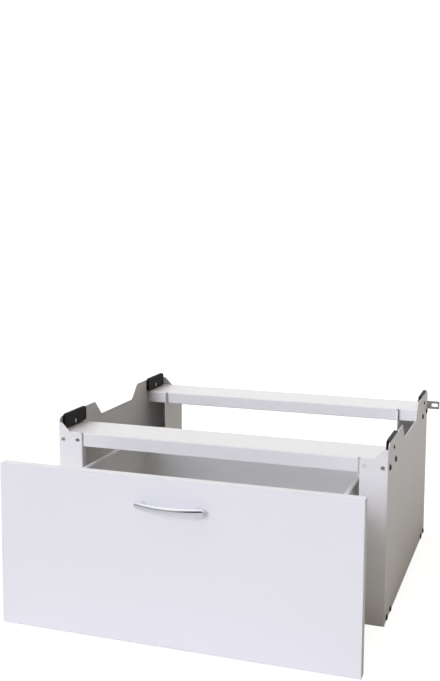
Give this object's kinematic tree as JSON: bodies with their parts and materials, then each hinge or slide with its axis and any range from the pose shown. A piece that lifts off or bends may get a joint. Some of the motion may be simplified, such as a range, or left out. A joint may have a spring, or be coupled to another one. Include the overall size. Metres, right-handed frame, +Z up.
{
  "type": "washer pedestal drawer",
  "caption": "Folded-steel pedestal for a washing machine, with raised ears and side pads and a board-fronted drawer on telescopic slides.",
  "frame": {"origin": "on the floor, at the middle of the whole object's bounding box with the drawer part open as drawn", "axes": "+X across to the right seen from the front, +Y to the back, so the drawer opens towards -Y, and +Z up from the floor"},
  "size_m": [0.682, 0.7878, 0.329],
  "materials": {
    "panel_paint": "satin white powder coat",
    "board": "white laminated board, satin",
    "zinc": "bright zinc-plated steel",
    "black_steel": "black passivated",
    "chrome": "polished chrome",
    "rubber": "matt black rubber",
    "strip_plastic": "grey moulded plastic",
    "ball_steel": "polished steel balls"
  },
  "bodies": {
    "frame": {"side_panel_left": "panel_paint", "side_panel_right": "panel_paint", "top_rail_front": "panel_paint", "top_rail_rear": "panel_paint", "bottom_rail_front": "panel_paint", "bottom_rail_rear": "panel_paint", "frame_bolts": "black_steel", "frame_nuts": "zinc", "rail_screws": "chrome", "foot_pads": "rubber", "side_pad_front_left": "rubber", "side_pad_front_right": "rubber", "side_pad_rear_left": "rubber", "side_pad_rear_right": "rubber", "side_pad_screws": "black_steel", "side_pad_nuts": "zinc", "wall_bracket_left": "zinc", "wall_bracket_right": "zinc", "bracket_screws": "zinc", "bracket_nuts": "zinc", "slide_outer_left": "zinc", "slide_outer_right": "zinc", "slide_fixing_screws": "zinc"},
    "drawer": {"drawer_tray": "panel_paint", "drawer_back": "panel_paint", "drawer_inner_front": "panel_paint", "drawer_rivets": "zinc", "drawer_front": "board", "front_screws": "zinc", "front_buffers": "rubber", "handle": "chrome", "handle_screws": "zinc", "slide_inner_left": "zinc", "slide_inner_right": "zinc", "slide_inner_screws": "zinc"},
    "slide_middle_left": {"slide_middle_left": "zinc"},
    "slide_middle_right": {"slide_middle_right": "zinc"},
    "outer_balls_left": {"outer_ball_strips_left": "strip_plastic", "outer_balls_left": "ball_steel"},
    "outer_balls_right": {"outer_ball_strips_right": "strip_plastic", "outer_balls_right": "ball_steel"},
    "inner_balls_left": {"inner_ball_strips_left": "strip_plastic", "inner_balls_left": "ball_steel"},
    "inner_balls_right": {"inner_ball_strips_right": "strip_plastic", "inner_balls_right": "ball_steel"}
  },
  "joints": [
    {"name": "drawer_slide", "type": "slide", "parent": "frame", "child": "drawer", "axis": [0, -1, 0], "range_m": [-0.1966, 0.2534]},
    {"name": "slide_middle_left_slide", "type": "slide", "parent": "frame", "child": "slide_middle_left", "axis": [0, -1, 0], "range_m": [-0.0985, 0.1269]},
    {"name": "slide_middle_right_slide", "type": "slide", "parent": "frame", "child": "slide_middle_right", "axis": [0, -1, 0], "range_m": [-0.0985, 0.1269]},
    {"name": "outer_balls_left_slide", "type": "slide", "parent": "frame", "child": "outer_balls_left", "axis": [0, -1, 0], "range_m": [-0.04935, 0.06355]},
    {"name": "outer_balls_right_slide", "type": "slide", "parent": "frame", "child": "outer_balls_right", "axis": [0, -1, 0], "range_m": [-0.04935, 0.06355]},
    {"name": "inner_balls_left_slide", "type": "slide", "parent": "frame", "child": "inner_balls_left", "axis": [0, -1, 0], "range_m": [-0.14765, 0.19025]},
    {"name": "inner_balls_right_slide", "type": "slide", "parent": "frame", "child": "inner_balls_right", "axis": [0, -1, 0], "range_m": [-0.14765, 0.19025]}
  ],
  "couplings": [
    {"joint": "slide_middle_left_slide", "follows": "drawer_slide", "ratio": 0.5},
    {"joint": "slide_middle_right_slide", "follows": "drawer_slide", "ratio": 0.5},
    {"joint": "outer_balls_left_slide", "follows": "drawer_slide", "ratio": 0.25},
    {"joint": "outer_balls_right_slide", "follows": "drawer_slide", "ratio": 0.25},
    {"joint": "inner_balls_left_slide", "follows": "drawer_slide", "ratio": 0.75},
    {"joint": "inner_balls_right_slide", "follows": "drawer_slide", "ratio": 0.75}
  ]
}
